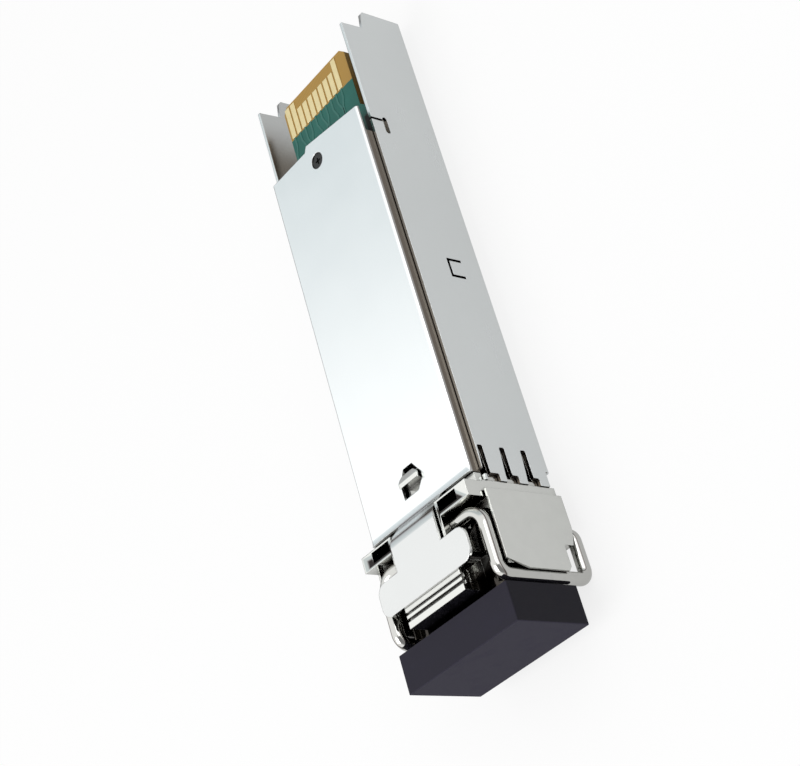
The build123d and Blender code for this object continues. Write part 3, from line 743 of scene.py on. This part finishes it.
class SCENE_OT_transceiver_metal(bpy.types.Operator):
    """Finishes the shell, cover, nose, bail, rocker and screw"""

    bl_idname = "scene.transceiver_metal"
    bl_label = "Metalwork"

    def execute(self, context):
        finish = context.scene.transceiver_finish
        shell = plated_sheet("shell_nickel", finish.shell[:], 0.24, 0.08 * MM, self.shell_painted_shade)
        dress("top_cover", shell)
        slots = [(*wall_reach, *slot_run, -drop - slot_down, -drop + slot_up)
                 for drop in slot_drops]
        notches = [(*wall_reach, *notch_run, -drop - notch_height, -drop) for drop in notch_drops]
        carve("top_cover", "shell_slotted", both_sides(slots + notches), shell, "module")
        dress("bottom_cover", plated_sheet("cover_nickel", finish.cover[:], 0.15, 0.08 * MM,
                                           self.cover_painted_shade))
        casting = polished_casting("nose_chrome", finish.casting[:], 0.09, 0.09 * MM,
                                   self.nose_painted_shade)
        dress("nose_housing", casting)
        carve("nose_housing", "nose_notched", both_sides([nose_corner]), casting, "module")
        dress("latch_rocker", polished_casting("rocker_chrome", finish.casting[:], 0.12, 0.08 * MM))
        dress("bail", drawn_wire("wire_chrome", finish.wire[:], 0.05))
        dress("rocker_spring", drawn_wire("spring_wire", (0.55, 0.54, 0.52), 0.2))
        dress("cover_screw", turned_metal("screw_steel", (0.055, 0.055, 0.055), 0.30))
        return {"FINISHED"}

    @staticmethod
    def nose_painted_shade(x, y, z):
        """Painted shade on the low shelf round the ports, behind the front face."""
        shelf = y.band(-11.45, -11.35, -9.6, -9.3) * z.band(-8.4, -8.3, -0.35, -0.25)
        return shelf * (1 - abs(x).rise(5.58, 5.62)) * 0.95

    @staticmethod
    def shell_painted_shade(x, y, z):
        """Painted shade inside the channel, darker the deeper it lies, and on the rims of its
        cut-outs.
        """
        low, high = datum_box("top_cover")
        skin = high.x - abs(x)
        deep = (1 - y.rise(high.y - 8.5, high.y - 2.5)) * (
            0.75 + y.rise(high.y - 11.0, high.y - 8.5) * 0.25)
        walls = skin.rise(0.25, 0.27) * (0.30 + deep * 0.65)
        rims = skin.rise(0.01, 0.04) * (1 - z.rise(-1.25, -1.15)) * (1 - y.rise(33.0, 33.3))
        return walls.most(rims) * z.rise(low.z + 0.28, low.z + 0.30)

    @staticmethod
    def cover_painted_shade(x, y, z):
        """Painted shade on the turned-down sides and on the ramp, and a lighter painted shade on
        the head.
        """
        low, high = datum_box("bottom_cover")
        side = abs(x).rise(high.x - 0.12, high.x - 0.02) * (1 - z.rise(-0.36, -0.04))
        ramp = y.band(-4.5, -3.7, -3.0, -2.5) * x.rise(0.1, 2.2)
        head = z.rise(1.1, 1.5) * 0.24
        return side.most(ramp).most(head)


class SCENE_OT_transceiver_plug(bpy.types.Operator):
    """Finishes the dust plug and softens its edges"""

    bl_idname = "scene.transceiver_plug"
    bl_label = "Dust plug"

    def execute(self, context):
        finish = context.scene.transceiver_finish
        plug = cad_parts["dust_plug"]
        dress("dust_plug", moulded_rubber("plug_rubber", finish.plug[:], *datum_box("dust_plug")))
        weld = plug.modifiers.new("merge", "WELD")
        weld.merge_threshold = 0.001 * MM
        soft = plug.modifiers.new("edges", "BEVEL")
        soft.width = context.scene.transceiver_plug.edge
        soft.segments = 3
        soft.limit_method = "ANGLE"
        soft.harden_normals = True
        return {"FINISHED"}


class SCENE_OT_transceiver_board(bpy.types.Operator):
    """Finishes the circuit board, its contacts and chips, and lays its tracks"""

    bl_idname = "scene.transceiver_board"
    bl_label = "Circuit board"

    def execute(self, context):
        finish = context.scene.transceiver_finish
        dress("circuit_board", fibre_board(
            "board_laminate", finish.mask[:], finish.laminate[:], *datum_box("circuit_board")))
        gold = gold_plate("contact_gold", finish.gold[:], 0.24)
        dress("latch_side_contacts", gold)
        dress("cover_side_contacts", gold)
        black = chip_plastic("chip_epoxy")
        for chip in ("laser_driver_chip", "amplifier_chip", "controller_chip"):
            dress(chip, black)
        tan = fired_ceramic("capacitor_ceramic", (0.42, 0.28, 0.16), 0.4)
        dress("latch_side_passives", tan)
        dress("cover_side_passives", tan)
        dress("thermal_pad", soft_pad("pad_silicone"))
        self.lay_tracks(context, finish.mask[:])
        self.tin_ends()
        return {"FINISHED"}

    @staticmethod
    def lay_tracks(context, mask):
        """One track from each contact, which steps aside on its way under the cover."""
        settings = context.scene.transceiver_board
        mesh = bmesh.new()
        for i in range(contact_count):
            x = contact_middle + ((contact_count - 1) / 2 - i) * contact_pitch
            aside = 0.36 if i % 3 else -0.30
            turn = 37.6 - 0.15 * (i % 4)
            route = [(x, 38.5), (x, turn), (x + aside, turn - 0.9), (x + aside, 34.8)]
            points = [at_mm(px, py, board_face) for px, py in route]
            lay_track(mesh, points, settings.track_width, settings.track_height)
        bmesh.ops.recalc_face_normals(mesh, faces=mesh.faces)
        tracks = add_object(mesh, "board_tracks")
        finish_piece(tracks, lacquered_copper("track_mask", mask), "module")

    @staticmethod
    def tin_ends():
        """Solder on both ends of each passive, a hair proud of its ceramic."""
        inner, outer, half_width, rise = 0.28, 0.54, 0.27, 0.53
        rows = [(x, 19.0 + 1.6 * i, board_face, 1) for x in (-4.2, -1.4, 1.4, 4.2)
                for i in range(6)]
        rows += [(x, 14.0 + 1.8 * i, board_back, -1) for x in (-4.2, 4.2) for i in range(8)]
        mesh = bmesh.new()
        for x, y, face, up in rows:
            for end in (-1, 1):
                x0, x1 = sorted((x + end * inner, x + end * outer))
                z0, z1 = sorted((face, face + up * rise))
                small_block(mesh, at_mm(x0, y - half_width, z0), at_mm(x1, y + half_width, z1),
                            0.03 * MM)
        bmesh.ops.recalc_face_normals(mesh, faces=mesh.faces)
        finish_piece(add_object(mesh, "passive_ends"), tinned("solder_tin"), "module")


class SCENE_OT_transceiver_optics(bpy.types.Operator):
    """Finishes the optics behind the ports and the post under the screw"""

    bl_idname = "scene.transceiver_optics"
    bl_label = "Optics"

    def execute(self, context):
        steel = turned_metal("barrel_steel", (0.56, 0.56, 0.55), 0.24)
        can = turned_metal("can_gold", (0.92, 0.70, 0.34), 0.22)
        zirconia = fired_ceramic("sleeve_zirconia", (0.82, 0.81, 0.77), 0.18)
        film = ribbon_film("ribbon_amber")
        for side in ("transmit", "receive"):
            dress(side + "_barrel", steel)
            dress(side + "_can", can)
            dress(side + "_sleeve", zirconia)
            dress(side + "_flex", film)
        dress("transmit_fibre_stub", zirconia)
        dress("optics_retainer",
              plated_sheet("retainer_steel", (0.55, 0.55, 0.54), 0.32, 0.05 * MM))
        dress("screw_post", turned_metal("post_brass", (0.72, 0.53, 0.26), 0.25))
        return {"FINISHED"}


class VIEW3D_PT_transceiver(bpy.types.Panel):
    """Lists the transceiver's steps and settings"""

    bl_label = "Transceiver"
    bl_idname = "VIEW3D_PT_transceiver"
    bl_space_type = "VIEW_3D"
    bl_region_type = "UI"
    bl_category = "Transceiver"

    def draw(self, context):
        layout = self.layout
        for operator in OPERATORS:
            layout.operator(operator.bl_idname)
        for name in SETTINGS:
            group = getattr(context.scene, name)
            box = layout.box()
            for key in group.__annotations__:
                box.prop(group, key)


SETTINGS = {
    "transceiver_camera": CameraSettings,
    "transceiver_studio": StudioSettings,
    "transceiver_finish": FinishSettings,
    "transceiver_board": BoardSettings,
    "transceiver_plug": PlugSettings,
}
OPERATORS = (
    SCENE_OT_transceiver_stage,
    SCENE_OT_transceiver_metal,
    SCENE_OT_transceiver_plug,
    SCENE_OT_transceiver_board,
    SCENE_OT_transceiver_optics,
)


def register():
    for group in SETTINGS.values():
        bpy.utils.register_class(group)
    for operator in OPERATORS:
        bpy.utils.register_class(operator)
    bpy.utils.register_class(VIEW3D_PT_transceiver)
    for name, group in SETTINGS.items():
        setattr(bpy.types.Scene, name, PointerProperty(type=group))


def unregister():
    for name in SETTINGS:
        delattr(bpy.types.Scene, name)
    bpy.utils.unregister_class(VIEW3D_PT_transceiver)
    for operator in reversed(OPERATORS):
        bpy.utils.unregister_class(operator)
    for group in reversed(list(SETTINGS.values())):
        bpy.utils.unregister_class(group)


def main():
    register()
    bpy.ops.scene.transceiver_stage()
    bpy.ops.scene.transceiver_metal()
    bpy.ops.scene.transceiver_plug()
    bpy.ops.scene.transceiver_board()
    bpy.ops.scene.transceiver_optics()


if __name__ == "__main__":
    main()
